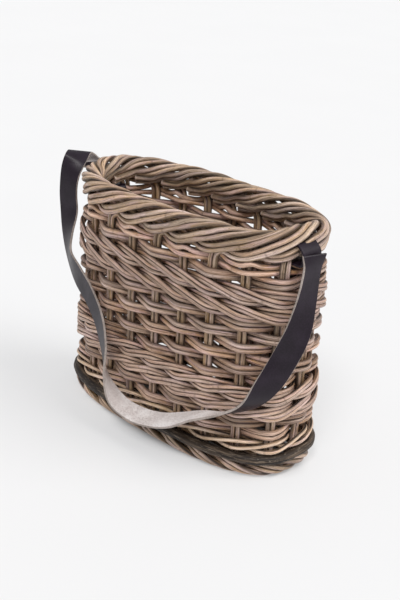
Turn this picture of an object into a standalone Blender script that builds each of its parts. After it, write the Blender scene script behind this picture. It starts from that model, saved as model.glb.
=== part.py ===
"""A tall, narrow windowsill basket woven from paired rattan rods, with a leather carrying strap.

Twenty pairs of upright rods, the stakes, carry the wall. Their upper ends roll over to the
right into the border, and their lower ends roll under into the foot. Between the two the wall
is plain weave, one pair of rods over and under each stake pair, with bands of three-rod waling.
A thick dark hoop runs round the foot. The woven base lies inside the foot, and the strap is
threaded through the wall just under the border at both ends.
"""

import bpy
import numpy as np
from mathutils import Matrix, Vector

# The wall's outline, measured on the centre line of the stakes at the rim
rim_half_length = 0.1779
rim_half_width = 0.0757
corner_power = 2.8
wall_lean = 0.0052

# Rods, and the room between them
stake_count = 20
stake_phase_share = 0.17
rod = 0.0064
fine_rod_share = 0.8125
clearance = 0.0003
course_gap = 0.0009
strand_gap = 0.0004
hoop_thickness = 0.0126

# Weaving, counted from the foot upwards
lower_rand_courses = 2
lower_wale_rows = 2
middle_rand_courses = 6
upper_wale_rows = 2
upper_rand_courses = 2

# Border and foot, rolled from the ends of the stakes
border_laps = 11
foot_laps = 8
rest_share = 0.12
laps_per_pitch = 3

# A rod between two stakes is nearly straight, so it stands off the tight corners by this much
corner_room_share = 0.04
wale_room_share = 2.8

# Base
cross_sticks = 5
base_pairs = 12
base_rod_share = 0.078
base_end_room = 0.0004

# Strap, and the slots it passes through between the border and the weaving
strap_width = 0.030
strap_thickness = 0.003
slot_room = 0.0007
slot_lift = 0.0046
slot_pull = 0.0044
slot_spread_share = 1.6
tab_width_share = 0.66
tab_tail = 0.030

# Sizes that follow
fine_rod = fine_rod_share * rod
half_rod = rod / 2
rand_offset = rod + clearance
half_pair = rod
roll_radius = 1.5 * rod + clearance
foot_roll_z = roll_radius + half_rod
hoop_radius = hoop_thickness / 2
hoop_z = foot_roll_z + half_pair + clearance + hoop_radius
slot_height = strap_thickness + 2 * slot_room
last_turn = np.pi / 2 * (foot_laps / laps_per_pitch - 1)
foot_top = foot_roll_z - roll_radius * np.sin(last_turn) + rod * abs(np.cos(last_turn))
inside_half_width = rim_half_width - wall_lean - half_rod - clearance
base_rod = base_rod_share * inside_half_width
base_z = foot_top + clearance + base_rod / 2
stick_spacing = 2 * rim_half_length / (cross_sticks + 1)
slot_place = stake_phase_share - 0.5


# The strap as it hangs: its middle line as shares of the half length, the half width and the
# border's height, and the direction across it
strap_shares = (
    (-1.130, 0.208, 0.989, -0.04, -1.00, -0.02),
    (-1.176, 0.198, 0.987, -0.23, -0.97, -0.06),
    (-1.218, 0.168, 0.992, -0.44, -0.89, -0.08),
    (-1.241, 0.115, 1.011, -0.60, -0.80, -0.02),
    (-1.239, 0.014, 1.039, -0.69, -0.72, 0.03),
    (-1.214, -0.112, 1.055, -0.73, -0.68, 0.07),
    (-1.170, -0.281, 1.039, -0.78, -0.55, 0.29),
    (-1.161, -0.362, 1.013, -0.88, -0.43, 0.18),
    (-1.159, -0.420, 0.979, -0.96, -0.26, 0.07),
    (-1.158, -0.458, 0.932, -0.99, -0.15, 0.01),
    (-1.155, -0.473, 0.875, -0.99, -0.15, -0.06),
    (-1.139, -0.484, 0.801, -0.97, -0.14, -0.19),
    (-1.079, -0.614, 0.694, -0.76, 0.17, -0.62),
    (-0.943, -0.818, 0.625, -0.31, 0.24, -0.92),
    (-0.763, -0.990, 0.587, -0.30, 0.09, -0.95),
    (-0.586, -1.096, 0.537, -0.53, 0.15, -0.84),
    (-0.444, -1.165, 0.456, -0.75, 0.26, -0.61),
    (-0.347, -1.246, 0.353, -0.78, 0.44, -0.45),
    (-0.274, -1.343, 0.244, -0.59, 0.73, -0.35),
    (-0.150, -1.342, 0.153, -0.10, 0.99, -0.07),
    (0.044, -1.335, 0.135, -0.01, 0.98, 0.18),
    (0.240, -1.332, 0.157, -0.10, 0.97, 0.24),
    (0.424, -1.311, 0.202, -0.19, 0.95, 0.24),
    (0.597, -1.263, 0.261, -0.19, 0.98, 0.00),
    (0.774, -1.133, 0.304, -0.29, 0.90, -0.33),
    (0.927, -0.957, 0.363, 0.01, 0.91, -0.42),
    (1.015, -0.793, 0.462, 0.58, 0.65, -0.50),
    (1.074, -0.631, 0.569, 0.85, 0.38, -0.37),
    (1.124, -0.532, 0.682, 0.59, 0.76, -0.29),
    (1.119, -0.385, 0.795, 0.19, 0.93, -0.32),
    (1.093, -0.237, 0.908, 0.02, 0.98, -0.22),
)


# The outline is worked out once as a table of points against distance along it.
turn = np.linspace(np.pi, 3 * np.pi, 5761)
power = 2 / corner_power
outline_x = rim_half_length * np.sign(np.cos(turn)) * np.abs(np.cos(turn)) ** power
outline_y = rim_half_width * np.sign(np.sin(turn)) * np.abs(np.sin(turn)) ** power
outline_run = np.concatenate([[0], np.cumsum(np.hypot(np.diff(outline_x), np.diff(outline_y)))])
pitch = outline_run[-1] / stake_count


def outline(place):
    """Points of the outline at places counted in stake pitches from its -X end, front side first."""
    run = np.mod(np.asarray(place, float) * pitch, outline_run[-1])
    return np.stack([np.interp(run, outline_run, outline_x), np.interp(run, outline_run, outline_y)], -1)


def wall_frame(place):
    """Along and outward directions of the wall at each place, level with the floor."""
    step = rod / pitch
    along = outline(np.asarray(place) + step) - outline(np.asarray(place) - step)
    along /= np.linalg.norm(along, axis=-1, keepdims=True)
    flat = np.zeros(along.shape[:-1] + (1,))
    out = np.stack([along[..., 1], -along[..., 0]], -1)
    return np.concatenate([along, flat], -1), np.concatenate([out, flat], -1)


def wall(place, height, offset, slide=0.0):
    """Points at a height and an offset outward of the stakes, slid along the wall at its own tangent."""
    along, out = wall_frame(place)
    flat = outline(place)
    height = np.broadcast_to(np.asarray(height, float), flat.shape[:-1])
    ground = np.concatenate([flat, np.zeros(flat.shape[:-1] + (1,))], -1)
    inset = wall_lean * (1 - height / border_roll_z)
    reach = np.asarray(offset) - inset
    points = ground + out * reach[..., None] + along * np.asarray(slide)[..., None]
    points[..., 2] += height
    return points


def corner_room(place):
    """How far a straight stretch of about half a pitch cuts in behind the curve of the wall there."""
    _, before = wall_frame(np.asarray(place) - 0.5)
    _, after = wall_frame(np.asarray(place) + 0.5)
    turned = np.linalg.norm(after - before, axis=-1)
    return turned * pitch * corner_room_share


def pair_profile(thick, flat_inside=False):
    """Corners round two rods that lie side by side along the first direction.

    The groove between them is cut on the outer side. The inner side is a ridge, or flat where it
    shows.
    """
    half, groove = thick / 2, thick / 8
    outer = [(thick, 0), (half, half), (0, groove), (-half, half), (-thick, 0)]
    inner = [(-half, -half), (half, -half)] if flat_inside else [(0, -half)]
    return np.array(outer + inner)


def rod_profile(thick, corners):
    """Corners round one rod, with the same area as the rod itself."""
    turn = 2 * np.pi * np.arange(corners) / corners
    return thick / 2 * np.stack([np.cos(turn), np.sin(turn)], -1)


def sweep(name, path, faces_to, profile, material, closed=False, lean=0):
    """
    Carries a profile along a path; its second direction turns towards the faces_to vectors, and
    lean slants its first direction along the path.
    """
    path = np.asarray(path, float)
    if closed:
        ahead = np.roll(path, -1, 0) - np.roll(path, 1, 0)
    else:
        ahead = np.gradient(path, axis=0)
    ahead /= np.linalg.norm(ahead, axis=1, keepdims=True)
    side = np.cross(ahead, faces_to)
    side /= np.linalg.norm(side, axis=1, keepdims=True)
    face = np.cross(side, ahead)
    side += ahead * lean
    rings = path[:, None] + side[:, None] * profile[..., :1] + face[:, None] * profile[..., 1:]
    count, corners = rings.shape[:2]
    first = np.arange(count if closed else count - 1)[:, None] * corners
    here = np.arange(corners)[None, :]
    after = (here + 1) % corners
    second = (first + corners) % (count * corners)
    quads = np.stack([first + here, second + here, second + after, first + after], -1).reshape(-1, 4)
    polygons = quads.tolist()
    if not closed:
        polygons.append(list(range(corners)))
        polygons.append(list(range(count * corners - 1, (count - 1) * corners - 1, -1)))
    mesh = bpy.data.meshes.new(name)
    mesh.from_pydata(rings.reshape(-1, 3).tolist(), [], polygons)
    mesh.materials.append(material)
    mesh.validate()
    part = bpy.data.objects.new(name, mesh)
    bpy.context.scene.collection.objects.link(part)
    mesh.shade_smooth()
    return part


def make_material(name, colour, roughness):
    material = bpy.data.materials.new(name)
    material.use_nodes = True
    shader = material.node_tree.nodes["Principled BSDF"]
    shader.inputs["Base Color"].default_value = (*colour, 1)
    shader.inputs["Roughness"].default_value = roughness
    shader.inputs["Metallic"].default_value = 0
    return material


def stack_heights():
    """Heights of the weaving's courses, from the hoop up, as (kind, number, height)."""
    wale = 3 * rod + 2 * strand_gap
    fine_wale = 3 * fine_rod + 2 * strand_gap
    bands = [("foot_wale", 1, fine_wale)]
    bands += [("lower_rand", n, 2 * rod) for n in range(1, lower_rand_courses + 1)]
    bands += [("lower_wale", n, wale) for n in range(1, lower_wale_rows + 1)]
    bands += [("middle_rand", n, 2 * rod) for n in range(1, middle_rand_courses + 1)]
    bands += [("upper_wale", n, wale) for n in range(1, upper_wale_rows + 1)]
    bands += [("upper_rand", n, 2 * rod) for n in range(1, upper_rand_courses + 1)]
    top = hoop_z + hoop_radius
    courses = []
    for kind, number, tall in bands:
        courses.append((kind, number, top + course_gap + tall / 2))
        top += course_gap + tall
    return courses, top


courses, weaving_top = stack_heights()
border_base = weaving_top + slot_height
border_rise = 3.2 * rod
border_roll_z = border_base + border_rise
tab_z = weaving_top + clearance + strap_thickness / 2
tab_reach = 2 * rod
hinge_z = tab_z + 4 * strap_thickness


def near_slot(place):
    """1 at the two slots, which are half the basket apart, and a smooth wave down to 0 beside them."""
    away = np.mod(np.asarray(place) - slot_place, stake_count / 2)
    away = np.minimum(away, stake_count / 2 - away)
    return 0.5 + 0.5 * np.cos(np.pi * np.minimum(away / slot_spread_share, 1))


def make_stake_pair(index, material):
    """One pair of upright rods: foot roll, upright, border roll, all in one length."""
    lap = 1 / laps_per_pitch
    roll_turn = np.pi / 2

    # Places in the foot, in stake pitches, with how far out and how high the pair lies there
    foot_u = np.arange(foot_laps, 0, -1) * lap
    foot_angle = -roll_turn * (foot_u - 1)
    foot_out = roll_radius * np.cos(foot_angle)
    foot_up = foot_roll_z + roll_radius * np.sin(foot_angle)
    foot_out[-2:] = 0.69 * rod, 0
    foot_up[-2:] = foot_roll_z + 0.4 * rod, foot_roll_z + 0.5 * rod
    foot_angle[-2:] = 0

    # The lowest place is drawn out into a short level stretch without its groove, which the
    # basket stands on
    lowest = foot_laps - 2 * laps_per_pitch
    foot_u = np.insert(foot_u, lowest, foot_u[lowest] + rest_share)
    foot_u[lowest + 1] -= rest_share
    foot_angle = np.insert(foot_angle, lowest, foot_angle[lowest])
    foot_out = np.insert(foot_out, lowest, foot_out[lowest])
    foot_up = np.insert(foot_up, lowest, foot_up[lowest])

    border_u = np.arange(1, border_laps + 1) * lap
    border_angle = np.maximum(roll_turn * (border_u - 2), 0)
    border_out = roll_radius * np.cos(border_angle)
    border_up = border_roll_z + roll_radius * np.sin(border_angle)
    climb_out_shares = (0.02, 0.52, 1.12, 1.27, 1.44)
    climb_up_shares = (0.66, 0.36, 0.82, 1.70, 2.53)
    climb = len(climb_out_shares)
    border_out[:climb] = np.array(climb_out_shares) * rod
    border_up[:climb] = border_base + np.array(climb_up_shares) * rod

    bend = lap * pitch
    lower_bend = bend * np.array([[0.293, 0.293], [0, 1]])
    upper_bend = bend * np.array([[0, -1], [0.293, -0.293]])
    foot_bend_u = lower_bend[:, 0] / pitch
    foot_bend_up = foot_up[-1] + lower_bend[:, 1]
    border_bend_u = upper_bend[:, 0] / pitch
    border_bend_up = border_up[0] + upper_bend[:, 1]

    start = index + stake_phase_share
    border_bend_up += slot_lift * near_slot(start + border_bend_u)
    border_up += slot_lift * near_slot(start + border_u)
    border_out -= slot_pull * near_slot(start + border_u)
    place = start + np.concatenate([foot_u, foot_bend_u, border_bend_u, border_u])
    height = np.concatenate([foot_up, foot_bend_up, border_bend_up, border_up])
    border_bend_out = -slot_pull * near_slot(start + border_bend_u) * np.array([0, 1])
    out = np.concatenate([foot_out, np.zeros(2), border_bend_out, border_out])
    angle = np.concatenate([foot_angle, np.zeros(4), border_angle])
    path = wall(place, height, out)
    _, outward = wall_frame(place)
    faces_to = outward * np.cos(angle)[:, None]
    faces_to[:, 2] += np.sin(angle)
    profile = np.repeat([pair_profile(rod)], len(path), axis=0)
    profile[lowest : lowest + 2, 2] = 0, rod / 2
    return sweep(f"stake_pair_{index + 1:02d}", path, faces_to, profile, material)


def make_rand(name, parity, height, material):
    """One closed course of plain weave: in front of every second stake pair, behind the others."""
    stakes = np.repeat(np.arange(stake_count), 2)
    slide = np.tile([-half_pair, half_pair], stake_count)
    out = np.where((stakes + parity) % 2 == 0, rand_offset, -rand_offset)
    place = stakes + stake_phase_share
    path = wall(place, height, out, slide)
    _, outward = wall_frame(place)
    return sweep(name, path, outward, pair_profile(rod, flat_inside=True), material, closed=True)


def make_wale(name, thick, height, falling, material):
    """Three weavers joined end to end, each in front of two stake pairs and behind the third."""
    run = np.arange(3 * stake_count)
    step = run % 3
    reach = (half_rod + clearance + thick / 2) / 0.78
    rise = thick + strand_gap
    place = run + stake_phase_share
    out = np.where(step == 0, -reach, reach + wale_room_share * corner_room(place))
    up = falling * rise * np.array([0, 1, -1])[step]
    path = wall(place, height + up, out)
    _, outward = wall_frame(place)
    return sweep(name, path, outward, rod_profile(thick, 4), material, closed=True)


def make_hoop(material):
    places = np.arange(2 * stake_count) / 2
    path = wall(places, hoop_z, half_rod + clearance + hoop_radius + corner_room(places))
    _, outward = wall_frame(places)
    return sweep("foot_hoop", path, outward, rod_profile(hoop_thickness, 6), material, closed=True)


def base_edge(across):
    """How far the space inside the stakes reaches from the middle, for each distance across it."""
    places = np.linspace(0, stake_count, 1441)
    edge = wall(places, base_z, -(half_rod + clearance + base_end_room))
    order = np.argsort(edge[:, across])
    half = order[edge[order, 1 - across] > 0]
    return lambda distance: np.interp(distance, edge[half, across], edge[half, 1 - across])


def make_base(material):
    """Sticks across the basket, with pairs of rods woven lengthwise over and under them."""
    reach_across = base_edge(0)
    reach_along = base_edge(1)
    stick_x = (np.arange(cross_sticks) - (cross_sticks - 1) / 2) * stick_spacing
    upward = np.array([[0, 0, 1]])
    for number, x in enumerate(stick_x, 1):
        end = reach_across(x) - base_end_room
        path = [(x, -end, base_z), (x, end, base_z)]
        sweep(f"base_stick_{number}", path, upward, rod_profile(base_rod, 6), material)
    lift = base_rod + clearance
    step = 2 * base_rod + clearance
    for number in range(base_pairs):
        y = (number - (base_pairs - 1) / 2) * step
        edge_pair = number in (0, base_pairs - 1)
        end = reach_along(abs(y) + base_rod)
        crossed = np.flatnonzero(np.abs(stick_x) < end - base_rod)
        by_foot = np.abs(stick_x[crossed]) > end - roll_radius - half_rod
        over = np.where(by_foot | ((crossed + number) % 2 == 0), 1, -1)
        up = np.full(len(crossed), lift) if edge_pair else over * lift
        end_up = lift if edge_pair or by_foot[0] else 0
        xs = [-end, *stick_x[crossed], end]
        ups = [end_up, *up, end_up]
        path = [(x, y, base_z + up) for x, up in zip(xs, ups)]
        sweep(f"base_pair_{number + 1:02d}", path, upward, pair_profile(base_rod), material)


def slot_line():
    """Middles of the two slots on the stakes' centre line, and the direction from one to the other."""
    left, right = outline(np.array([slot_place, slot_place + stake_count / 2]))
    flat = (right - left) / np.linalg.norm(right - left)
    lift = (0,)
    return np.array([*left, *lift]), np.array([*right, *lift]), np.array([*flat, *lift])


def strip(name, path, across, width, material):
    """A flat band of leather along a path, with straight lines across it along the across vectors."""
    path = np.asarray(path, float)
    ahead = np.gradient(path, axis=0)
    ahead /= np.linalg.norm(ahead, axis=1, keepdims=True)
    along_path = (ahead * across).sum(1, keepdims=True)
    square = np.linalg.norm(across - ahead * along_path, axis=1, keepdims=True)
    half, deep = width / 2, strap_thickness / 2
    profile = np.array([(half, deep), (-half, deep), (-half, -deep), (half, -deep)])
    return sweep(name, path, np.cross(across, ahead), profile, material, lean=along_path / square)


def make_tab(name, slot, outward, material):
    """The strap's fixed end: it hangs inside the wall, passes out through the slot and turns up."""
    inside, outside = -2.4 * rod, tab_reach
    bend = 1.6 * strap_thickness
    corner = 0.3 * bend
    reach_and_height = [
        (inside, tab_z - tab_tail),
        (inside, tab_z - bend),
        (inside + corner, tab_z - corner),
        (inside + bend, tab_z),
        (outside - bend, tab_z),
        (outside - corner, tab_z + corner),
        (outside, tab_z + bend),
        (outside, hinge_z + rod),
    ]
    path = [slot + outward * reach + (0, 0, height) for reach, height in reach_and_height]
    across = np.cross((0, 0, 1), outward)
    return strip(name, path, across, tab_width_share * strap_width, material)


def between(points):
    """Doubles a table of points with a smooth curve through all of them."""
    padded = np.concatenate([2 * points[:1] - points[1:2], points, 2 * points[-1:] - points[-2:-1]])
    middles = (9 * (padded[1:-2] + padded[2:-1]) - padded[:-3] - padded[3:]) / 16
    doubled = np.empty((2 * len(points) - 1, points.shape[1]))
    doubled[::2] = points
    doubled[1::2] = middles
    return doubled


def make_strap(left, right, along, material):
    """The strap, hanging in front of the basket from both tabs; its origin is on the line it turns about."""
    table = np.array(strap_shares)
    hung = table[:, :3] * (rim_half_length, rim_half_width, border_roll_z)
    reach = tab_reach + strap_thickness + 3 * clearance
    start, end = left - along * reach, right + along * reach
    low, high = hinge_z - rod, hinge_z + rod
    path = [start + (0, 0, low), start + (0, 0, high), *hung, end + (0, 0, hinge_z), end + (0, 0, high)]
    flat = np.cross(along, (0, 0, 1))
    across = [flat, flat, *table[:, 3:], -flat, -flat]
    path, across = between(np.array(path)), between(np.array(across))
    origin = start + (0, 0, hinge_z)
    strap = strip("strap", path - origin, across, strap_width, material)
    strap.location = origin
    return strap


def build():
    cane = make_material("rattan", (0.30, 0.21, 0.145), 0.55)
    stake_cane = make_material("stake_rattan", (0.27, 0.21, 0.13), 0.5)
    bark = make_material("dark_hoop_bark", (0.035, 0.03, 0.026), 0.6)
    leather = make_material("black_leather", (0.024, 0.022, 0.028), 0.45)
    for index in range(stake_count):
        make_stake_pair(index, stake_cane)
    for course, (kind, number, height) in enumerate(courses):
        name = f"{kind}_{number}"
        if kind.endswith("rand"):
            make_rand(name, number, height, cane)
        elif kind == "foot_wale":
            make_wale(name, fine_rod, height, -1, cane)
        elif kind == "lower_wale":
            make_wale(name, rod, height, -1, cane)
        else:
            make_wale(name, rod, height, 1, cane)
    make_hoop(bark)
    make_base(cane)
    left, right, along = slot_line()
    make_tab("strap_end_left", left, -along, leather)
    make_tab("strap_end_right", right, along, leather)
    make_strap(left, right, along, leather)


def centre(parts):
    """Moves everything so that its box stands on the floor, centred over the frame's origin."""
    bpy.context.view_layer.update()
    corners = np.array([part.matrix_world @ vertex.co for part in parts for vertex in part.data.vertices])
    low, high = corners.min(0), corners.max(0)
    shift = Vector([*(low + high)[:2] / 2, low[2]])
    for part in parts:
        if part.name == "strap":
            part.location -= shift
        else:
            part.data.transform(Matrix.Translation(-shift))


for old in list(bpy.data.objects):
    bpy.data.objects.remove(old)
build()
centre(list(bpy.data.objects))
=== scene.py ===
"""Looks of the rattan windowsill basket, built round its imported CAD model.

Lengths are in metres in the model's frame: +X towards the right-hand strap end, +Y to the back.
Every rod is a round swept surface of its own. The sections follow the basket as it is put together.
"""

import bpy
import numpy as np
from mathutils import Matrix, Vector


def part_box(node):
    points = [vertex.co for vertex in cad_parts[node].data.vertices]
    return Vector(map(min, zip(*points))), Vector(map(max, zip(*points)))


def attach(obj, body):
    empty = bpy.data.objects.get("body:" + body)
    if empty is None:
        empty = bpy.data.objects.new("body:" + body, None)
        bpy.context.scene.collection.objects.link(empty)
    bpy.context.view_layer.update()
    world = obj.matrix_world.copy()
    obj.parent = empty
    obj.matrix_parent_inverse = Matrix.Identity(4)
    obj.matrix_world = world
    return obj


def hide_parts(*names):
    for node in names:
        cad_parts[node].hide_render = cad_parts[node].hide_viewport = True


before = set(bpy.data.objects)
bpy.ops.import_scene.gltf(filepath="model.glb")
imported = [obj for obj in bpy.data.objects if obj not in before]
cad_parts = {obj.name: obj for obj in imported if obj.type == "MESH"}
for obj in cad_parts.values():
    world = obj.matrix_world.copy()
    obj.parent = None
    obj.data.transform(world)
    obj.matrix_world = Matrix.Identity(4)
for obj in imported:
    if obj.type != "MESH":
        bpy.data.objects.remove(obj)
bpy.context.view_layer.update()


# The base: five sticks across, with twelve pairs of thin rods woven lengthwise over and under them.
# All are peeled rattan core, and the ends are cut square just inside the foot.
rod = 0.0064
fine_rod = 0.0052
clearance = 0.0003
chance = np.random.default_rng(11)


class Value:
    """A number or vector in a material's node tree. Arithmetic on values adds the Math nodes for it."""

    def __init__(self, graph, socket):
        self.graph, self.socket = graph, socket

    def math(self, operation, *others):
        return self.graph.node("ShaderNodeMath", {"operation": operation}, dict(enumerate((self, *others))))

    def __add__(self, other):
        return self.math("ADD", other)

    def __sub__(self, other):
        return self.math("SUBTRACT", other)

    def __rsub__(self, other):
        return self.graph.node("ShaderNodeMath", {"operation": "SUBTRACT"}, {0: other, 1: self})

    def __mul__(self, other):
        return self.math("MULTIPLY", other)

    __radd__ = __add__
    __rmul__ = __mul__

    def between(self, low, high):
        """0 up to low, 1 from high, and a smooth rise between them."""
        sockets = {"Value": self, "From Min": low, "From Max": high}
        return self.graph.node("ShaderNodeMapRange", {"interpolation_type": "SMOOTHSTEP"}, sockets)

    def part(self, axis):
        """One number of a vector, at axis 0, 1 or 2."""
        return self.graph.node("ShaderNodeSeparateXYZ", {}, {0: self}, axis)


class Graph:
    """The node tree of one new material, which starts empty."""

    def __init__(self, name):
        self.material = bpy.data.materials.new(name)
        self.material.use_nodes = True
        self.tree = self.material.node_tree
        self.tree.nodes.clear()

    def node(self, kind, settings, sockets, output=0):
        """A node of that kind, with its settings made first and then its sockets filled or linked."""
        made = self.tree.nodes.new(kind)
        for name, setting in settings.items():
            setattr(made, name, setting)
        for name, given in sockets.items():
            if isinstance(given, Value):
                self.tree.links.new(given.socket, made.inputs[name])
            else:
                made.inputs[name].default_value = given
        return Value(self, made.outputs[output])

    def attribute(self, name, output="Fac"):
        return self.node("ShaderNodeAttribute", {"attribute_name": name}, {}, output)

    def stretched(self, vector, scale):
        """The vector with each of its directions times its own scale."""
        return self.node("ShaderNodeVectorMath", {"operation": "MULTIPLY"}, {0: vector, 1: scale})

    def moved(self, vector, by):
        return self.node("ShaderNodeVectorMath", {"operation": "ADD"}, {0: vector, 1: by})

    def noise(self, vector, scale, detail=2.0, roughness=0.5):
        """Cloudy noise about one half. The scale is one number, or one for each direction."""
        if isinstance(scale, tuple):
            vector, scale = self.stretched(vector, scale), 1.0
        sockets = {"Vector": vector, "Scale": scale, "Detail": detail, "Roughness": roughness}
        return self.node("ShaderNodeTexNoise", {}, sockets)

    def mix(self, share, first, second):
        """The first colour where the share is 0, and the second where it is 1."""
        return self.node("ShaderNodeMix", {"data_type": "RGBA"}, {0: share, 6: first, 7: second}, 2)

    def bump(self, height, distance, strength):
        sockets = {"Height": height, "Distance": distance, "Strength": strength}
        return self.node("ShaderNodeBump", {}, sockets)

    def finish(self, colour, roughness, normal, specular, **glow):
        """The material, with one shader all over. Glow holds the shader's emission sockets, if any."""
        sockets = {"Base Color": colour, "Roughness": roughness, "Normal": normal}
        sockets["Specular IOR Level"] = specular
        surface = self.node("ShaderNodeBsdfPrincipled", {}, sockets | glow)
        output = self.tree.nodes.new("ShaderNodeOutputMaterial")
        self.tree.links.new(surface.socket, output.inputs["Surface"])
        return self.material


def tinted(colour, red, green, blue):
    """The colour with its red, green and blue each times a share of its own."""
    return (red * colour[0], green * colour[1], blue * colour[2], 1)


def cane_material(name, dark, body, warm, pale):
    """Weathered rattan: a body colour that changes along the rod, under grime and painted shade, cracks and
    worn fibres.

    The grain attribute is a point on a cylinder of radius 1 with the length along the rod in metres.
    Tone is three random numbers for each rod. Worn is 1 on cut ends, and proud is 1 on the outermost
    bends, made pale partly as rubbed wear and partly as a painted highlight. Tight is 1 along the lines
    where rods lie on each other, darkened partly by grime and partly as a painted shade.
    """
    graph = Graph(name)
    grain = graph.attribute("grain", "Vector")
    tone = graph.attribute("tone", "Vector")
    own = graph.moved(grain, graph.stretched(tone, (17.0, 13.0, 9.0)))
    streaks = graph.noise(own, (2.4, 2.4, 11.0), 5.0, 0.66)
    fibres = graph.noise(own, (7.0, 7.0, 30.0), 3.0, 0.6)
    stretches = graph.noise(own, (0.35, 0.35, 16.0))
    faded = graph.noise(own, (0.5, 0.5, 24.0), 3.0, 0.6)
    cloudy = graph.noise(own, (0.8, 0.8, 45.0), 3.0)
    blotches = graph.noise(own, (1.5, 1.5, 60.0), 4.0, 0.7)
    specks = graph.noise(own, (3.0, 3.0, 300.0))
    cracks = (graph.noise(own, (5.0, 5.0, 26.0)) - 0.5).math("ABSOLUTE").between(0.022, 0.006)

    # A joint every third of a metre or so, a narrow dark ring
    joints_per_metre = 3.1
    from_joint = (grain.part(2) * joints_per_metre + tone.part(0) * 5.0).math("FRACT") - 0.5
    ring = from_joint.math("ABSOLUTE").between(0.005, 0.002)

    # Pale where the sun bleached it, most of all on some rods, and on the proud bends, there partly rubbed
    # wear and partly a painted highlight
    rubbed_and_highlit = graph.attribute("proud") * fibres.between(0.36, 0.6) * 0.55
    bleached = tone.part(1).between(0.55, 1.0) * cloudy.between(0.4, 0.6) * 0.4
    paleness = streaks.between(0.52, 0.70) * 0.6 + rubbed_and_highlit + bleached
    # A painted shade, with some grime, along the lines where rods lie on each other
    grime_and_painted_shade = graph.attribute("tight") * (cloudy.between(0.35, 0.6) * 0.4 + 0.6)

    mauve = tinted(pale, 0.80, 0.72, 0.86)
    ochre = tinted(warm, 1.05, 0.90, 0.58)
    # The colour of the grime and painted shade along the lines where rods touch
    crevice_grime_and_shade = tinted(dark, 0.15, 0.15, 0.15)
    colour = body
    for share, laid_over in (
        (stretches.between(0.44, 0.56), warm),
        (faded.between(0.50, 0.60) * 0.55, mauve),
        (blotches.between(0.54, 0.66) * 0.6, ochre),
        (faded.between(0.47, 0.38) * 0.35, dark),
        (streaks.between(0.49, 0.36) * 0.85, dark),
        (paleness.math("MINIMUM", 0.92), pale),
        (ring * 0.3, dark),
        (specks.between(0.64, 0.72) * 0.7, dark),
        (cracks * 0.55, dark),
        (grime_and_painted_shade, crevice_grime_and_shade),
        (graph.attribute("worn") * 0.8, pale),
    ):
        colour = graph.mix(share, colour, laid_over)
    own_tone = {"Value": tone.part(2) * 0.7 + 0.86, "Saturation": tone.part(1) * 0.35 + 0.95}
    colour = graph.node("ShaderNodeHueSaturation", {}, {"Color": colour} | own_tone)

    fibre_height = 0.0006
    height = fibres * 0.6 + streaks * 0.9 - ring * 0.4 - cracks * 0.3
    return graph.finish(colour, streaks * -0.25 + 0.58, graph.bump(height, fibre_height, 0.8), 0.42)


def shown(name, points, faces, material, attributes, body="basket"):
    """An object from points, arrays of faces with equal numbers of corners, and values at its points."""
    mesh = bpy.data.meshes.new(name)
    corners = np.concatenate([part.ravel() for part in faces])
    sizes = np.concatenate([np.full(len(part), part.shape[1]) for part in faces])
    mesh.vertices.add(len(points))
    mesh.vertices.foreach_set("co", points.ravel())
    mesh.loops.add(len(corners))
    mesh.loops.foreach_set("vertex_index", corners)
    mesh.polygons.add(len(sizes))
    mesh.polygons.foreach_set("loop_start", np.cumsum(sizes) - sizes)
    mesh.update(calc_edges=True)
    mesh.shade_smooth()
    for key, values in attributes.items():
        kind, field = ("FLOAT_VECTOR", "vector") if values.ndim == 2 else ("FLOAT", "value")
        mesh.attributes.new(key, kind, "POINT").data.foreach_set(field, values.astype(float).ravel())
    mesh.materials.append(material)
    piece = bpy.data.objects.new(name, mesh)
    bpy.context.scene.collection.objects.link(piece)
    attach(piece, body)
    return piece


def unit(vectors):
    return vectors / np.linalg.norm(vectors, axis=-1, keepdims=True)


def run_along(paths):
    """The distance along each path from its first point: the running sum of its steps' lengths."""
    steps = np.linalg.norm(np.diff(paths, axis=-2), axis=-1)
    return np.concatenate([np.zeros(steps.shape[:-1] + (1,)), steps.cumsum(-1)], -1)


def capped_rings(count, stations, sides):
    """Faces of tubes whose points run tube by tube and ring by ring: quads, and a face on each end."""
    tube, ring, turn = np.ogrid[:count, : stations - 1, :sides]
    here = (tube * stations + ring) * sides + turn
    beside = (tube * stations + ring) * sides + (turn + 1) % sides
    quads = np.stack([here, here + sides, beside + sides, beside], -1).reshape(-1, 4)
    first = np.arange(count)[:, None] * stations * sides + np.arange(sides)
    last = first + (stations - 1) * sides
    return [quads, np.concatenate([first, last[:, ::-1]])]


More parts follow.
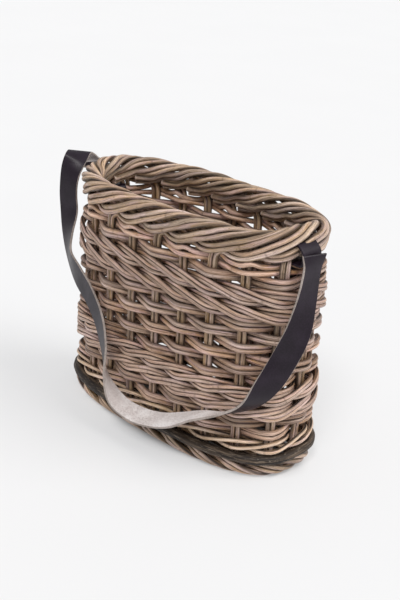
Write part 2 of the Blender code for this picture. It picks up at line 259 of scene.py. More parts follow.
def rods(name, paths, outward, thick, material, proud=0.0, sides=12, uneven=1.0):
    """Round rods as one object: rings square to each path, and a slightly rounded cut at each end.

    A ring point is the path's point plus the radius times (cosine outward plus sine sideways). The
    radius is half the thickness times 1 plus two low waves, a bulge of exp(-x * x) at each joint and
    a wave of two crests round the ring, all scaled by uneven. Proud is 1 on the outermost bends and
    -1 on the innermost.
    """
    paths = np.asarray(paths, float)
    count, stations = paths.shape[:2]
    outward = np.broadcast_to(outward, paths.shape)
    proud = np.broadcast_to(proud, (count, stations))
    thick = thick if np.ndim(thick) == 2 else np.reshape(thick, (-1, 1))
    thick = np.broadcast_to(thick, (count, stations))
    ahead = unit(np.gradient(paths, axis=1))

    # One more ring beyond each end, for the rounded cut
    first, last = paths[:, :1] - ahead[:, :1] * clearance, paths[:, -1:] + ahead[:, -1:] * clearance
    paths = np.concatenate([first, paths, last], 1)
    ahead, outward, proud, thick = (
        np.concatenate([array[:, :1], array, array[:, -1:]], 1) for array in (ahead, outward, proud, thick)
    )
    stations += 2
    side = unit(np.cross(ahead, outward))
    face = np.cross(side, ahead)
    run = run_along(paths)

    bulges_per_metre, bulge_share, cut_share, cut_reach = 6.2, 0.018, 0.86, 0.0025
    start = chance.uniform(0, 9, (count, 1, 4))
    turn = 2 * np.pi * np.arange(sides) / sides
    waves = 0.025 * np.sin(run * 90 + start[..., 0]) + 0.015 * np.sin(run * 310 + start[..., 1])
    from_joint = np.abs(np.mod(run * bulges_per_metre + start[..., 2], 1) - 0.5) / bulge_share
    swell = waves + 0.045 * np.exp(-from_joint * from_joint)
    oval = 0.035 * np.cos(2 * turn + start[..., 3:] + run[..., None] * 9)
    radius = thick[..., None] / 2 * (1 + uneven * (swell[..., None] + oval))
    radius[:, [0, -1]] *= cut_share
    points = (
        paths[:, :, None]
        + face[:, :, None] * (radius * np.cos(turn))[..., None]
        + side[:, :, None] * (radius * np.sin(turn))[..., None]
    )

    shape = (count, stations, sides)
    along = (run + chance.uniform(0, 3, (count, 1)))[..., None]
    grain = np.stack([np.broadcast_to(part, shape) for part in (np.cos(turn), np.sin(turn), along)], -1)
    tone = np.broadcast_to(chance.uniform(0, 1, (count, 1, 1, 3)), (*shape, 3))
    from_end = np.minimum(run, run[:, -1:] - run)[..., None]
    outer_side = np.clip(proud, 0, 1)[..., None] * np.clip(np.cos(turn), 0, 1)
    inner_side = np.clip(-proud, 0, 1)[..., None] * np.clip(-np.cos(turn), 0, 1)
    per_point = {
        # Tight: the sides where rods lie on each other, darkened with grime and a painted shade
        "tight": np.clip((np.abs(np.sin(turn)) - 0.74) / 0.2, 0, 1),
        "worn": np.clip(1 - from_end / cut_reach, 0, 1),
        "proud": outer_side + inner_side,
    }
    attributes = {key: np.broadcast_to(values, shape).reshape(-1) for key, values in per_point.items()}
    attributes |= {"grain": grain.reshape(-1, 3), "tone": tone.reshape(-1, 3)}
    return shown(name, points.reshape(-1, 3), capped_rings(*shape), material, attributes)


def smooth(points, per_span):
    """Curves through the points along the second axis, with a number of new points to each span.

    By the Catmull-Rom formula: each span is a cubic whose slope at a point is half of the step
    between that point's two neighbours.
    """
    before, after = 2 * points[:, :1] - points[:, 1:2], 2 * points[:, -1:] - points[:, -2:-1]
    padded = np.concatenate([before, points, after], 1)[:, :, None]
    one, two, three, four = padded[:, :-3], padded[:, 1:-2], padded[:, 2:-1], padded[:, 3:]
    t = (np.arange(per_span) / per_span)[:, None]
    curve = two + 0.5 * t * (
        three - one + t * (2 * one - 5 * two + 4 * three - four + t * (3 * (two - three) + four - one))
    )
    return np.concatenate([curve.reshape(len(points), -1, 3), points[:, -1:]], 1)


base_cane = cane_material(
    "base_cane",
    dark=(0.07, 0.038, 0.026, 1),
    body=(0.33, 0.22, 0.15, 1),
    warm=(0.42, 0.29, 0.19, 1),
    pale=(0.60, 0.48, 0.39, 1),
)
stick_boxes = np.array([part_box(f"base_stick_{number}") for number in range(1, 6)])
stick_starts, stick_ends = stick_boxes.mean(1), stick_boxes.mean(1)
stick_starts[:, 1], stick_ends[:, 1] = stick_boxes[:, 0, 1], stick_boxes[:, 1, 1]
stick_paths = np.linspace(stick_starts, stick_ends, 30, axis=1)
sticks = rods("base_sticks", stick_paths, (0, 0, 1), fine_rod, base_cane)
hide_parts(*[f"base_stick_{number}" for number in range(1, 6)])

# A pair goes over one stick and under the next, but over all that lie next to the foot. The two
# outermost pairs lie over every stick.
base_pair_count = 12
stick_x, base_z = stick_starts[:, 0], stick_starts[0, 2]
pair_paths = []
for number in range(base_pair_count):
    low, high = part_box(f"base_pair_{number + 1:02d}")
    crossed = np.flatnonzero((stick_x > low[0] + rod) & (stick_x < high[0] - rod))
    at = stick_x[crossed]
    near_foot = (at < low[0] + 2 * rod) | (at > high[0] - 2 * rod)
    outermost = number in (0, base_pair_count - 1)
    over = np.where(near_foot | ((crossed + number) % 2 == 0) | outermost, 1, -1)
    x = np.linspace(low[0], high[0], 160)
    lift = (fine_rod + clearance) * np.interp(x, at, over)
    for side in (-0.5, 0.5):
        y = np.full_like(x, (low[1] + high[1]) / 2 + side * fine_rod)
        pair_paths.append(np.stack([x, y, base_z + lift], -1))
base_pairs = rods("base_pairs", pair_paths, (0, 0, 1), fine_rod, base_cane, sides=10)
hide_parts(*[f"base_pair_{number:02d}" for number in range(1, 13)])


# The stakes: twenty pairs of upright rods. Below they roll under into the foot, and above they lean
# to the right, climb the outside of the border, roll over its top and end inside with a pale cut.
stake_count = 20
half_length, half_width = 0.1779, 0.0757
outline_power = 2.8
middle = np.array([0.011706, 0.013926])
roll_radius = 1.5 * rod + clearance
foot_roll_z = roll_radius + rod / 2
border_base = 0.2749
border_roll_z = border_base + 3.2 * rod
lean_in = 0.0052
right_back = np.array([0.7315, 0.682])
left_corner_pull, right_corner_pull = 0.011, 0.008
upward = np.array([0.0, 0.0, 1.0])
outline_turn = np.linspace(np.pi, 3 * np.pi, 5761)
outline_points = np.stack([np.cos(outline_turn), np.sin(outline_turn)], -1)
outline_points = np.sign(outline_points) * np.abs(outline_points) ** (2 / outline_power)
outline_points = outline_points * (half_length, half_width)
outline_run = run_along(outline_points)
pitch = outline_run[-1] / stake_count


def outline(place):
    """Points of the wall's outline, a superellipse, at places counted in stake pitches from its -X end."""
    run = np.mod(np.asarray(place, float) * pitch, outline_run[-1])
    return middle + np.stack([np.interp(run, outline_run, outline_points[:, axis]) for axis in (0, 1)], -1)


def wall_directions(place):
    """Along the wall, from the places a seventh of a pitch to both sides, and outward square to that."""
    aside = 0.14
    along = unit(outline(np.asarray(place) + aside) - outline(np.asarray(place) - aside))
    flat = np.zeros(along.shape[:-1] + (1,))
    out = np.stack([along[..., 1], -along[..., 0]], -1)
    return np.concatenate([along, flat], -1), np.concatenate([out, flat], -1)


def wall(place, height, offset):
    """Points at a height and at an offset outward of the stakes.

    The wall leans in towards the floor in proportion to the height. Its left front and right back
    corners are drawn in as the height squared, times the fourth power of the cosine between the
    outward direction and the corner's.
    """
    _, out = wall_directions(place)
    place, height, offset = np.broadcast_arrays(place, height, offset)
    points = np.concatenate([outline(place), height[..., None]], -1)
    share = height / border_roll_z
    corner = out[..., :2] @ right_back
    pull = np.interp(corner, (-1, 1), (left_corner_pull, right_corner_pull))
    offset = offset - lean_in * (1 - share) - pull * corner**4 * share**2
    return points + out * offset[..., None]


def wander(place, size, scale=1.0):
    """A small smooth drift along a rod: the size times a sum of three sines with random starts."""
    start = chance.uniform(0, 2 * np.pi, (3, 1))
    waves = np.sin(place * scale * np.array([[0.73], [1.9], [4.3]]) + start)
    return size * (waves * np.array([[0.5], [0.3], [0.2]])).sum(0)


stake_cane = cane_material(
    "stake_cane",
    dark=(0.065, 0.034, 0.019, 1),
    body=(0.345, 0.230, 0.155, 1),
    warm=(0.40, 0.28, 0.175, 1),
    pale=(0.66, 0.53, 0.45, 1),
)

# The foot's knots, a third of a pitch apart, from the cut end up to the wall: round the underside
# of the roll at angles from outward, and then in to the wall. The gap lets the rods swell.
floor_gap = 0.0006
foot_u = np.arange(8, 0, -1) / 3
foot_angle = np.radians([-150, -120, -90, -60, -30, 0, 0, 0])
foot_out = roll_radius * np.cos(foot_angle)
foot_up = foot_roll_z + floor_gap + roll_radius * np.sin(foot_angle)
foot_out[-2:] = 0.69 * rod, 0
foot_up[-2:] = foot_roll_z + 0.4 * rod, foot_roll_z + 0.5 * rod

# The border's knots, also a third of a pitch apart: the climb outside, the way over the roll at
# angles from outward, and the end that runs down inside. The climb and the end are given as steps
# outward and upward from the border's base.
border_u = np.arange(1, 18) / 3
climb = rod * np.array([(0.02, 0.66), (0.52, 0.30), (1.12, 0.62), (1.27, 1.38), (1.44, 2.30)])
roll_over = np.radians([0, 30, 60, 90, 120, 150, 182, 207, 226])
end = rod * np.array([(-1.25, 1.25), (-1.20, 0.75), (-1.10, 0.45)])
border_angle = np.concatenate([0 * climb[:, 0], roll_over, np.radians([226, 215, 205])])
border_out = np.concatenate([climb[:, 0], roll_radius * np.cos(roll_over), end[:, 0]])
roll_up = border_roll_z + roll_radius * np.sin(roll_over)
border_up = np.concatenate([border_base + climb[:, 1], roll_up, border_base + end[:, 1]])

# Between them the stake stands upright, with a quarter turn of a third of a pitch at each end. The
# middle of a quarter turn lies 0.293 of its radius in from both of the straight lines that it joins.
turn_radius = 1 / 3
bend = 0.293 * turn_radius
upright_ends = foot_up[-1] + turn_radius * pitch, border_up[0] - turn_radius * pitch
upright_up = np.linspace(*upright_ends, 9)[1:-1]
stake_u = np.concatenate([foot_u, [bend, 0], 0 * upright_up, [0, bend], border_u])
low_turn = foot_up[-1] + np.array([bend, turn_radius]) * pitch
high_turn = border_up[0] - np.array([turn_radius, bend]) * pitch
stake_up = np.concatenate([foot_up, low_turn, upright_up, high_turn, border_up])
straight = np.zeros(4 + len(upright_up))
stake_out = np.concatenate([foot_out, straight, border_out])
stake_angle = np.concatenate([foot_angle, straight, border_angle])
stake_shift = 0.17
stake_place = np.arange(stake_count)[:, None] + stake_shift + stake_u

# At the strap's two slots, half way round from each other, the border rises and draws in
left_slot, half_round = -0.33, stake_count / 2
slot_reach, slot_rise, rise_from, slot_pull = 1.6, 0.0046, 0.24, 0.006
from_slot = np.abs(np.mod(stake_place - left_slot + half_round / 2, half_round) - half_round / 2)
near_slot = 0.5 + 0.5 * np.cos(np.pi * np.minimum(from_slot / slot_reach, 1))
stake_height = stake_up + np.where(stake_up > rise_from, slot_rise * near_slot, 0)
stake_offset = stake_out - np.where(stake_up > border_up[0] - 0.2 * pitch, slot_pull * near_slot, 0)

per_knot = 5
pair_path = smooth(wall(stake_place, stake_height, stake_offset), per_knot)
_, stake_outward = wall_directions(stake_place)
stake_faces = stake_outward * np.cos(stake_angle)[:, None] + upward * np.sin(stake_angle)[:, None]
stake_faces = unit(smooth(stake_faces, per_knot))
pair_side = unit(np.cross(unit(np.gradient(pair_path, axis=1)), stake_faces))
stake_paths = np.concatenate([pair_path + side * rod * pair_side for side in (-0.5, 0.5)])
stake_faces = np.concatenate([stake_faces, stake_faces])

# In the border the rods drift and are a little fuller
border_run = np.arange(stake_paths.shape[1]) / (3 * per_knot)
in_border = np.clip((stake_paths[0, :, 2] - border_base) / rod, 0, 1)
for path, face in zip(stake_paths, stake_faces):
    path += face * (wander(border_run, 0.0014, 1.3) * in_border)[:, None]
    path[:, 2] += wander(border_run, 0.0012, 1.3) * in_border
stake_thick = rod * (0.985 + 0.10 * np.clip((stake_paths[..., 2] - border_base) / rod, 0, 1))
stake_thick = stake_thick * chance.uniform(0.92, 1.02, (2 * stake_count, 1))
# The bends in the border and the foot are the proud ones: pale partly as rubbed wear and partly as a
# painted highlight
stake_proud = np.where(stake_up > border_base, 0.78, np.where(stake_up < foot_up[-1], 0.8, 0.15))
stake_proud = np.interp(np.arange(stake_paths.shape[1]) / per_knot, np.arange(len(stake_up)), stake_proud)
stakes = rods("stakes", stake_paths, stake_faces, stake_thick, stake_cane, stake_proud)
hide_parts(*[f"stake_pair_{number:02d}" for number in range(1, stake_count + 1)])


# The dark hoop: one thick cane with its dark bark left on, bent round the outside of the foot. It
# carries the weaving, and its two ends lap behind the basket, the last a little higher.
hoop_thickness = 0.0126
hoop_z = foot_roll_z + rod + clearance + hoop_thickness / 2


def corner_room(place):
    """How far a rod stands off the tight corners, where it can't follow the wall.

    It is 0.04 pitches times the turning, the step between the outward directions a pitch apart.
    """
    _, before = wall_directions(np.asarray(place) - 0.5)
    _, after = wall_directions(np.asarray(place) + 0.5)
    return 0.04 * pitch * np.linalg.norm(after - before, axis=-1)


def bark_material():
    """Dark bark: brown-black with lighter brown stretches, long pale scratches and small specks."""
    graph = Graph("dark_bark")
    grain = graph.attribute("grain", "Vector")
    skin = graph.noise(grain, (1.6, 1.6, 16.0), 4.0, 0.6)
    stretches = graph.noise(grain, (0.6, 0.6, 14.0))
    scratches = graph.noise(grain, (9.0, 9.0, 40.0), 3.0, 0.7)
    specks = graph.noise(grain, (5.0, 5.0, 420.0), 2.0, 0.6)
    colour = graph.mix(stretches.between(0.42, 0.62), (0.013, 0.008, 0.006, 1), (0.036, 0.023, 0.015, 1))
    colour = graph.mix(skin.between(0.48, 0.68) * 0.6, colour, (0.145, 0.100, 0.066, 1))
    colour = graph.mix(scratches.between(0.58, 0.68) * 0.8, colour, (0.40, 0.31, 0.23, 1))
    colour = graph.mix(specks.between(0.66, 0.74) * 0.8, colour, (0.42, 0.36, 0.29, 1))
    bark_height = 0.0008
    height = skin * 0.8 + scratches * 0.5
    return graph.finish(colour, skin * -0.3 + 0.68, graph.bump(height, bark_height, 0.8), 0.3)


hoop_start, hoop_end = 12.2, 32.6
lift_start, lift_length = 31.9, 0.6
hoop_place = np.linspace(hoop_start, hoop_end, 420)[None]
hoop_lift = 0.15 * hoop_thickness * np.clip((hoop_place - lift_start) / lift_length, 0, 1)
hoop_offset = rod / 2 + clearance + hoop_thickness / 2 + corner_room(hoop_place)
hoop_path = wall(hoop_place, hoop_z + hoop_lift, hoop_offset)
_, hoop_outward = wall_directions(hoop_place)
hoop = rods("dark_hoop", hoop_path, hoop_outward, hoop_thickness, bark_material(), sides=20, uneven=1.7)
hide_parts("foot_hoop")


# Plain weave: pairs of rods, one on the other, go in front of one stake pair and behind the next.
# Each course is pressed down on the last. A rod's ends lap over a stake at the basket's back.
weaver_cane = cane_material(
    "weaver_cane",
    dark=(0.068, 0.034, 0.022, 1),
    body=(0.355, 0.230, 0.170, 1),
    warm=(0.40, 0.265, 0.18, 1),
    pale=(0.66, 0.52, 0.45, 1),
)
course_gap, wale_room = 0.0009, 0.0008
bands = {
    "foot_wale": (1, 3 * fine_rod + wale_room),
    "lower_rand": (2, 2 * rod),
    "lower_wale": (2, 3 * rod + wale_room),
    "middle_rand": (6, 2 * rod),
    "upper_wale": (2, 3 * rod + wale_room),
    "upper_rand": (2, 2 * rod),
}
courses = {}
course_top = hoop_z + hoop_thickness / 2
for band, (rows, tall) in bands.items():
    for row in range(1, rows + 1):
        courses[f"{band}_{row}"] = course_top + course_gap + tall / 2
        course_top += course_gap + tall

rand_stations = 240
back_stake = 11
past_stake = 0.12
blunt = 0.93
hump, hump_place, hump_width = 0.0042, 0.16, 0.2


def rand_course(number, height, top):
    """The two rods of a course, as paths and as waves between -1 behind and 1 in front of stakes.

    The wave is a blunted triangle, the arc sine of 0.93 cosines. A rod's ends lap: the first goes in
    and down a little, and the last out and up. The top course's upper rod has a hump of exp(-x * x)
    beside each stake, under the border.
    """
    paths, waves = [], []
    first = back_stake + (number % 2 == 0)
    last = first + stake_count
    for side in (-0.5, 0.5):
        place = np.linspace(first - past_stake, last + past_stake, rand_stations)
        wave = np.arcsin(blunt * np.cos(np.pi * (place + number))) / np.arcsin(blunt)
        out = (rod + 1.6 * clearance) * wave + wander(place, 0.0003)
        lap = np.clip(place - last + 0.5, 0, 0.6) - np.clip(first + 0.5 - place, 0, 0.6)
        up = height + side * rod * 0.97 + wander(place, 0.0012) + lap * 0.1 * rod
        if top and side > 0:
            from_hump = (np.mod(place - hump_place + 0.5, 1) - 0.5) / hump_width
            up = up + hump * np.exp(-from_hump * from_hump)
        paths.append(wall(place + stake_shift, up, out + lap * rod * 0.6))
        waves.append(wave)
    return paths, waves


for band in ("lower_rand", "middle_rand", "upper_rand"):
    rows, _ = bands[band]
    paths, waves = [], []
    for number in range(1, rows + 1):
        top = f"{band}_{number}" == "upper_rand_2"
        course_paths, course_waves = rand_course(number, courses[f"{band}_{number}"], top)
        paths += course_paths
        waves += course_waves
    fullest = 1.13 if band == "upper_rand" else 1.05
    thick = rod * chance.uniform(fullest - 0.1, fullest, len(paths))
    places = np.linspace(0, stake_count, rand_stations) + back_stake + stake_shift
    _, weave_outward = wall_directions(places)
    piece = rods(f"{band}s", paths, weave_outward, thick, weaver_cane, np.array(waves))
    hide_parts(*[f"{band}_{number}" for number in range(1, rows + 1)])


# Waling: thinner rods, single just above the hoop and in pairs elsewhere, that each go in front of
# two stake pairs and behind the third. The upper band slants down to the right, the lower two up.
def wale_row(height, thick, falling, doubled):
    """One row: a strand that runs three times round, as paths, waves and outward directions.

    At stakes 0, 1 and 2 of three it is behind, then high in front, then low in front. A doubled
    strand is two rods, one on the other.
    """
    stations = np.arange(0, 3 * stake_count + 0.5, 0.5)
    step = np.mod(stations, 3)
    reach = rod / 2 + thick / 2 + 2.2 * clearance
    rise = thick * (1.02 if doubled else 1.0) + 0.0001
    steps = np.arange(7) / 2
    out = np.interp(step, steps, np.array([-1, 0.1, 1, 1.06, 1, 0.1, -1]) * reach)
    up = np.interp(step, steps, np.array([0, 0.9, 1.0, 0, -1.0, -0.9, 0]) * rise)
    room = 2.8 * corner_room(stations + stake_shift)
    knots = np.stack([stations, out + np.where(out > 0, room, 0), up], -1)[None]
    place, out, up = smooth(knots, 6)[0].T
    paths = []
    for side in (-0.5, 0.5) if doubled else (0,):
        strand_up = height + falling * up + side * thick + wander(place, 0.0006)
        paths.append(wall(place + stake_shift, strand_up, out + wander(place, 0.0003)))
    return paths, [out / reach] * len(paths), wall_directions(place + stake_shift)[1]


def wale_band(band, thick, falling, doubled, material):
    rows, _ = bands[band]
    paths, waves = [], []
    for number in range(1, rows + 1):
        row_paths, row_waves, outward = wale_row(courses[f"{band}_{number}"], thick, falling, doubled)
        paths += row_paths
        waves += row_waves
    sizes = thick * chance.uniform(0.96, 1.06, len(paths))
    piece = rods(f"{band}s", paths, outward, sizes, material, np.array(waves), sides=10)
    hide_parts(*[f"{band}_{number}" for number in range(1, rows + 1)])


pale_cane = cane_material(
    "pale_cane",
    dark=(0.10, 0.06, 0.04, 1),
    body=(0.41, 0.288, 0.20, 1),
    warm=(0.50, 0.37, 0.25, 1),
    pale=(0.71, 0.59, 0.505, 1),
)
wale_band("foot_wale", fine_rod, -1, False, pale_cane)
wale_band("lower_wale", fine_rod, -1, True, weaver_cane)
wale_band("upper_wale", fine_rod, 1, True, weaver_cane)


# The strap: one length of black leather with a pale suede back and raw edges. It comes out under
# the border at both ends, rises over the left end and hangs in a long loop in front of the basket.
strap_width, strap_thickness = 0.030, 0.003

# Each row is a point of the strap's middle line, as shares of the outline's half length and half
# width and of the border's height, and then the direction across the strap there.
strap_shares = np.array(
    (
        (-1.130, 0.208, 0.989, -0.04, -1.00, -0.02),
        (-1.176, 0.198, 0.987, -0.23, -0.97, -0.06),
        (-1.218, 0.168, 0.992, -0.44, -0.89, -0.08),
        (-1.241, 0.115, 1.011, -0.60, -0.80, -0.02),
        (-1.239, 0.014, 1.039, -0.69, -0.72, 0.03),
        (-1.214, -0.112, 1.055, -0.73, -0.68, 0.07),
        (-1.170, -0.281, 1.039, -0.78, -0.55, 0.29),
        (-1.161, -0.362, 1.013, -0.88, -0.43, 0.18),
        (-1.159, -0.420, 0.979, -0.96, -0.26, 0.07),
        (-1.158, -0.458, 0.932, -0.99, -0.15, 0.01),
        (-1.155, -0.473, 0.875, -0.99, -0.15, -0.06),
        (-1.139, -0.484, 0.801, -0.97, -0.14, -0.19),
        (-1.079, -0.614, 0.694, -0.76, 0.17, -0.62),
        (-0.943, -0.818, 0.625, -0.31, 0.24, -0.92),
        (-0.763, -0.990, 0.587, -0.30, 0.09, -0.95),
        (-0.586, -1.096, 0.537, -0.53, 0.15, -0.84),
        (-0.444, -1.165, 0.456, -0.75, 0.26, -0.61),
        (-0.347, -1.246, 0.353, -0.78, 0.44, -0.45),
        (-0.274, -1.343, 0.244, -0.59, 0.73, -0.35),
        (-0.150, -1.342, 0.153, -0.10, 0.99, -0.07),
        (0.044, -1.335, 0.135, -0.01, 0.98, 0.18),
        (0.240, -1.332, 0.157, -0.10, 0.97, 0.24),
        (0.424, -1.311, 0.202, -0.19, 0.95, 0.24),
        (0.597, -1.263, 0.261, -0.19, 0.98, 0.00),
        (0.774, -1.133, 0.304, -0.29, 0.90, -0.33),
        (0.927, -0.957, 0.363, 0.01, 0.91, -0.42),
        (1.015, -0.793, 0.462, 0.58, 0.65, -0.50),
        (1.074, -0.631, 0.569, 0.85, 0.38, -0.37),
        (1.124, -0.532, 0.682, 0.59, 0.76, -0.29),
        (1.119, -0.385, 0.795, 0.19, 0.93, -0.32),
        (1.093, -0.237, 0.908, 0.02, 0.98, -0.22),
    )
)
slot_height = 0.0044
tab_z = border_base - slot_height + clearance + strap_thickness / 2
tab_reach = 2 * rod
tab_width = 0.95 * strap_width
tab_tail = 0.030
hinge_z = tab_z + 4 * strap_thickness
slots = np.zeros((2, 3))
slots[:, :2] = outline(left_slot + np.array([0, half_round]))
between_slots = unit(slots[1] - slots[0])


def leather_material(name, flat, mark, crease, roughness):
    """Leather: a flat colour broken by soft marks, nap, pores and creases across the strap."""
    graph = Graph(name)
    place = graph.attribute("sheet", "Vector")
    marks = graph.noise(place, 38.0, 4.0, 0.6)
    nap = graph.noise(place, 520.0, 2.0, 0.7)
    pores = graph.noise(place, 900.0, 3.0, 0.6)
    creases = graph.noise(place, (260.0, 30.0, 30.0), 3.0, 0.6)
    colour = graph.mix(marks.between(0.42, 0.68), flat, mark)
    colour = graph.mix(nap.between(0.50, 0.60) * 0.5, colour, mark)
    colour = graph.mix(nap.between(0.45, 0.37) * 0.35, colour, crease)
    colour = graph.mix(pores.between(0.55, 0.72) * 0.5, colour, crease)
    nap_height = 0.0006
    height = marks * 0.5 + pores * 0.25 + nap * 0.3 + creases * 0.35
    return graph.finish(colour, marks * -0.2 + roughness, graph.bump(height, nap_height, 0.5), 0.3)


black_face = leather_material(
    "black_face",
    flat=(0.009, 0.004, 0.010, 1),
    mark=(0.016, 0.009, 0.018, 1),
    crease=(0.004, 0.002, 0.004, 1),
    roughness=0.5,
)
suede_back = leather_material(
    "suede_back",
    flat=(0.66, 0.60, 0.585, 1),
    mark=(0.86, 0.82, 0.81, 1),
    crease=(0.27, 0.22, 0.205, 1),
    roughness=0.95,
)
raw_edge = leather_material(
    "raw_edge",
    flat=(0.30, 0.255, 0.23, 1),
    mark=(0.44, 0.38, 0.35, 1),
    crease=(0.12, 0.10, 0.09, 1),
    roughness=0.9,
)


def leather_strip(name, path, across, width, body, suede_from, raw_from):
    """A leather band along a path, whose section is a flat bar with rounded edges.

    The side along the cross product of across and the path's direction is the black face. The back
    is black too up to one station and the edges up to another. From there on they are suede and raw.
    """
    ahead = unit(np.gradient(path, axis=0))
    face = unit(np.cross(across, ahead))
    side = np.cross(ahead, face)
    slant = (across * ahead).sum(1, keepdims=True) / (across * side).sum(1, keepdims=True)
    side = side + ahead * slant
    half, deep = width / 2, strap_thickness / 2
    corner = deep * 0.45
    turn = np.pi / 2 * np.linspace(0, 1, 4)
    quarter = np.stack([half - corner + corner * np.cos(turn), deep - corner + corner * np.sin(turn)], -1)
    inner = half - 0.4 * strap_thickness
    top = np.stack([np.linspace(inner, -inner, 9), np.full(9, deep)], -1)
    mirrored = quarter[::-1] * (-1, 1)
    upper = np.concatenate([quarter, top, mirrored])
    profile = np.concatenate([upper, -upper])
    count, corners = len(path), len(profile)
    points = path[:, None] + side[:, None] * profile[None, :, :1] + face[:, None] * profile[None, :, 1:]
    along = np.broadcast_to(run_along(path)[:, None, None], (count, corners, 1))
    sheet = np.concatenate([along, np.broadcast_to(profile, (count, corners, 2))], -1)
    faces = capped_rings(1, count, corners)
    attributes = {"sheet": sheet.reshape(-1, 3)}
    piece = shown(name, points.reshape(-1, 3), faces, black_face, attributes, body)
    piece.data.materials.append(suede_back)
    piece.data.materials.append(raw_edge)
    black, suede, raw = range(3)
    kind = np.full(corners, raw)
    kind[2 : len(upper) - 3] = black
    kind[len(upper) + 2 : -3] = suede
    kinds = np.tile(kind, (count - 1, 1))
    station = np.arange(count - 1)[:, None]
    kinds[(kinds == suede) & (station < suede_from)] = black
    kinds[(kinds == raw) & (station < raw_from)] = black
    piece.data.polygons.foreach_set("material_index", np.concatenate([kinds.ravel(), [raw, black]]))
    return piece


# Each end strip, black all over, hangs inside the wall, goes out through its slot and up behind
# the strap's end, and leans in under the border.
for name, slot, outward in (
    ("strap_end_left", slots[0], -between_slots),
    ("strap_end_right", slots[1], between_slots),
):
    inside, bend = -2.4 * rod, 1.6 * strap_thickness
    reach_and_height = np.array(
        [
            (inside, tab_z - tab_tail),
            (inside, tab_z - 2 * bend),
            (inside, tab_z - bend),
            (inside + 0.3 * bend, tab_z - 0.3 * bend),
            (inside + bend, tab_z),
            (0, tab_z),
            (tab_reach - bend, tab_z),
            (tab_reach - 0.3 * bend, tab_z + 0.3 * bend),
            (tab_reach, tab_z + bend),
            (tab_reach, hinge_z),
            (tab_reach - 0.0008, hinge_z + 0.0035),
            (tab_reach - 0.0040, hinge_z + 0.0075),
            (tab_reach - 0.0105, hinge_z + 0.0120),
        ]
    )
    tab_path = slot + outward * reach_and_height[:, :1] + upward * reach_and_height[:, 1:]
    tab_path = smooth(tab_path[None], 6)[0]
    tab_across = np.broadcast_to(np.cross(upward, outward), tab_path.shape)
    whole = len(tab_path)
    tab = leather_strip(f"{name}_leather", tab_path, tab_across, tab_width, "basket", whole, whole)
    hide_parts(name)

strap_reach = tab_reach + strap_thickness + 3 * clearance
strap_hung = strap_shares[:, :3] * (half_length, half_width, border_roll_z) + (*middle, 0)
strap_start = slots[0] - between_slots * strap_reach
strap_end = slots[1] + between_slots * strap_reach
strap_knots = np.concatenate(
    [
        [strap_start + upward * (hinge_z - rod), strap_start + upward * (hinge_z + rod)],
        strap_hung,
        [strap_end + upward * (hinge_z + 0.3 * rod)],
    ]
)

# The right end is turned out a little. Over its left bend the strap's suede back is coloured black, a
# painted shade where that back lies in shadow.
strap_flat = np.cross(between_slots, upward)
strap_across = np.concatenate([[strap_flat] * 2, strap_shares[:, 3:], [0.3 * between_slots - strap_flat]])
strap_path, strap_across = smooth(strap_knots[None], 8)[0], smooth(strap_across[None], 8)[0]
painted_shade_stations = 34
strap = leather_strip("leather_strap", strap_path, strap_across, strap_width, "strap", painted_shade_stations, 0)
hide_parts("strap")


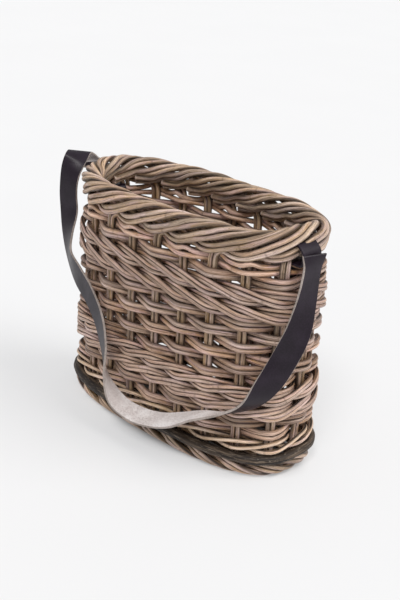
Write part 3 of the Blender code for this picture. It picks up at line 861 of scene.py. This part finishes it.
# The room: a pale floor that glows faintly, a soft white sky, two broad soft lights, one from the
# right-hand end and one from the front, and the camera where the photographer stood.
def floor_material():
    """Pale floor with very faint cloudiness, which glows a little, like a light table: a painted light that
    keeps its shadows pale.

    It doesn't glow under the basket: the glow fades out between 1.08 and 0.82 of an ellipse's half
    length and width, which paints shade under and round the basket's foot.
    """
    shade_length, shade_width = 0.185, 0.083
    graph = Graph("pale_floor")
    place = graph.node("ShaderNodeTexCoord", {}, {}, "Object")
    clouds = graph.noise(place, 3.0, 3.0)
    colour = graph.mix(clouds, (0.405, 0.405, 0.408, 1), (0.425, 0.425, 0.428, 1))
    from_middle = graph.stretched(graph.moved(place, (*-middle, 0)), (1 / shade_length, 1 / shade_width, 0))
    away = graph.node("ShaderNodeVectorMath", {"operation": "LENGTH"}, {0: from_middle}, 1)
    # Painted shade: the glow is taken away under the basket and round its foot
    light = graph.mix(away.between(0.82, 1.08), (0.02, 0.02, 0.02, 1), (0.98, 0.985, 1.0, 1))
    # The glow is a painted light that lifts the floor's shadows
    glow = {"Emission Color": light, "Emission Strength": 0.43}
    return graph.finish(colour, 0.75 + clouds * 0.1, graph.bump(clouds, 0.0002, 0.1), 0.2, **glow)


floor_half = 15.0
floor_corners = [(x * floor_half, y * floor_half, 0) for x, y in ((-1, -1), (1, -1), (1, 1), (-1, 1))]
floor_mesh = bpy.data.meshes.new("floor")
floor_mesh.from_pydata(floor_corners, [], [(0, 1, 2, 3)])
floor_mesh.materials.append(floor_material())
floor = bpy.data.objects.new("floor", floor_mesh)
bpy.context.scene.collection.objects.link(floor)

world = bpy.data.worlds.new("studio")
world.use_nodes = True
sky = world.node_tree.nodes["Background"].inputs
sky["Color"].default_value = (0.98, 0.99, 1.0, 1)
sky["Strength"].default_value = 0.53
bpy.context.scene.world = world


def aimed(place, target, roll=0.0):
    """A matrix at a place whose -Z looks at the target, level and then rolled about its view."""
    back = (place - target).normalized()
    right = Vector((0, 0, 1)).cross(back).normalized()
    above = back.cross(right)
    turned = Matrix((right, above, back)).transposed().to_4x4() @ Matrix.Rotation(roll, 4, "Z")
    turned.translation = place
    return turned


for name, energy, wide, place in (
    ("key", 1.7, 40, (1.1, 0.5, 1.25)),
    ("fill", 1.3, 18, (0.45, -0.85, 1.35)),
):
    light = bpy.data.lights.new(name, "SUN")
    light.energy = energy
    light.angle = np.radians(wide)
    light.color = (1.0, 0.985, 0.965)
    lamp = bpy.data.objects.new(name, light)
    lamp.matrix_world = aimed(Vector(place), Vector((0, 0, 0)))
    bpy.context.scene.collection.objects.link(lamp)

azimuth, elevation, roll = np.radians((42.981, 22.653, 3.248))
distance = 1.261
target = Vector((0.024126, 0.013926, 0.1686))
back = Vector(
    (np.sin(azimuth) * np.cos(elevation), -np.cos(azimuth) * np.cos(elevation), np.sin(elevation))
)
lens = bpy.data.cameras.new("camera")
lens.lens = 60
lens.sensor_width = 36
camera = bpy.data.objects.new("camera", lens)
camera.matrix_world = aimed(target + back * distance, target, roll)
bpy.context.scene.collection.objects.link(camera)
bpy.context.scene.camera = camera
bpy.context.scene.view_settings.view_transform = "Standard"
